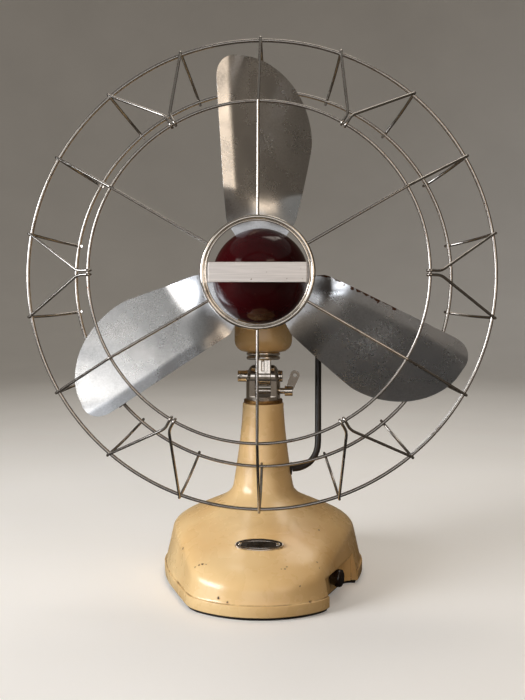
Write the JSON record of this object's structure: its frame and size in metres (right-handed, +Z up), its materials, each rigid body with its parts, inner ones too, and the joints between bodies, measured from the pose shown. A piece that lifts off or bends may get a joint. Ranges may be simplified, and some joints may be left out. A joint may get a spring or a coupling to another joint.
{
  "type": "desk fan",
  "caption": "Desk fan with a wire guard round pressed blades, on a head that tilts and swivels over a tapering column and a broad sloping foot with a speed knob in a recess.",
  "frame": {"origin": "on the column axis, at the underside of the felt that the foot stands on", "axes": "+Z up, the fan blows towards -Y, +X is to the right of someone facing the fan"},
  "size_m": [0.3673, 0.214, 0.4407],
  "materials": {
    "ivory_enamel": "glossy stoved enamel over iron, ivory, worn and chipped",
    "bright_nickel": "nickel plate, pitted",
    "guard_wire": "plated steel wire, tarnished",
    "plain_steel": "turned steel",
    "lead_rubber": "black rubber",
    "black_bakelite": "moulded black phenolic, polished",
    "black_enamel": "black enamel on sheet metal",
    "burgundy_enamel": "dark burgundy gloss enamel",
    "blade_aluminium": "pressed aluminium, mottled and worn",
    "bar_aluminium": "brushed aluminium",
    "bronze": "sintered bronze",
    "copper_winding": "varnished copper wire",
    "dark_iron": "oiled iron",
    "porcelain": "glazed ceramic",
    "felt": "dark felt"
  },
  "bodies": {
    "base": {"base_casting": "ivory_enamel", "base_plate": "plain_steel", "felt_pad": "felt", "plate_screws": "plain_steel", "nameplate": "black_enamel", "nameplate_rivets": "bright_nickel", "mains_grommet": "lead_rubber", "switch_well": "ivory_enamel", "switch_body": "black_bakelite", "speed_coil": "copper_winding", "terminal_block": "porcelain", "lead_grommet": "lead_rubber", "lead_lower": "lead_rubber", "column_collar": "bronze", "fork": "bright_nickel", "fork_grub_screw": "plain_steel", "tilt_pin": "bright_nickel", "tilt_nut": "bright_nickel"},
    "speed_knob": {"speed_knob": "black_bakelite"},
    "clamp_lever": {"clamp_lever": "bright_nickel"},
    "tilt_block": {"tilt_tongue": "bright_nickel", "swivel_stud": "plain_steel", "swivel_nut": "plain_steel", "lead_upper": "lead_rubber"},
    "head": {"swivel_bead": "bright_nickel", "motor_housing": "ivory_enamel", "rear_cover": "ivory_enamel", "cover_screws": "bright_nickel", "stator_core": "dark_iron", "field_coils": "copper_winding", "front_bearing": "bronze", "rear_bearing": "bronze", "guard_arms": "guard_wire", "guard_screws": "plain_steel", "rear_ring": "guard_wire", "outer_ring": "guard_wire", "front_ring": "guard_wire", "hub_ring": "guard_wire", "guard_spokes": "guard_wire", "guard_struts": "guard_wire", "badge_bar": "bar_aluminium", "lead_gland": "lead_rubber"},
    "rotor": {"motor_shaft": "plain_steel", "rotor_core": "dark_iron", "blade_hub": "plain_steel", "blade_1": "blade_aluminium", "blade_2": "blade_aluminium", "blade_3": "blade_aluminium", "clamp_plate": "plain_steel", "blade_rivets": "blade_aluminium", "hub_nut": "plain_steel", "spinner": "burgundy_enamel"}
  },
  "joints": [
    {"name": "head_tilt", "type": "hinge", "parent": "base", "child": "tilt_block", "pos_m": [0, 0, 0.1695], "axis": [-1, 0, 0], "range_deg": [-3, 35], "deforming": ["lead_lower"]},
    {"name": "head_swivel", "type": "hinge", "parent": "tilt_block", "child": "head", "pos_m": [0, 0, 0.1695], "axis": [0, 0.0732, 0.9973], "range_deg": [-35, 35], "deforming": ["lead_upper"]},
    {"name": "fan_spin", "type": "hinge", "parent": "head", "child": "rotor", "pos_m": [0, 0.00593, 0.25028], "axis": [0, -0.9973, 0.0732], "continuous": true},
    {"name": "clamp_turn", "type": "hinge", "parent": "base", "child": "clamp_lever", "pos_m": [0.0217, 0, 0.157], "axis": [1, 0, 0], "range_deg": [-80, 40]},
    {"name": "speed_turn", "type": "hinge", "parent": "base", "child": "speed_knob", "pos_m": [0.05632, -0.06303, 0.0155], "axis": [0.9304, -0.3665, 0], "range_deg": [0, 120]}
  ]
}
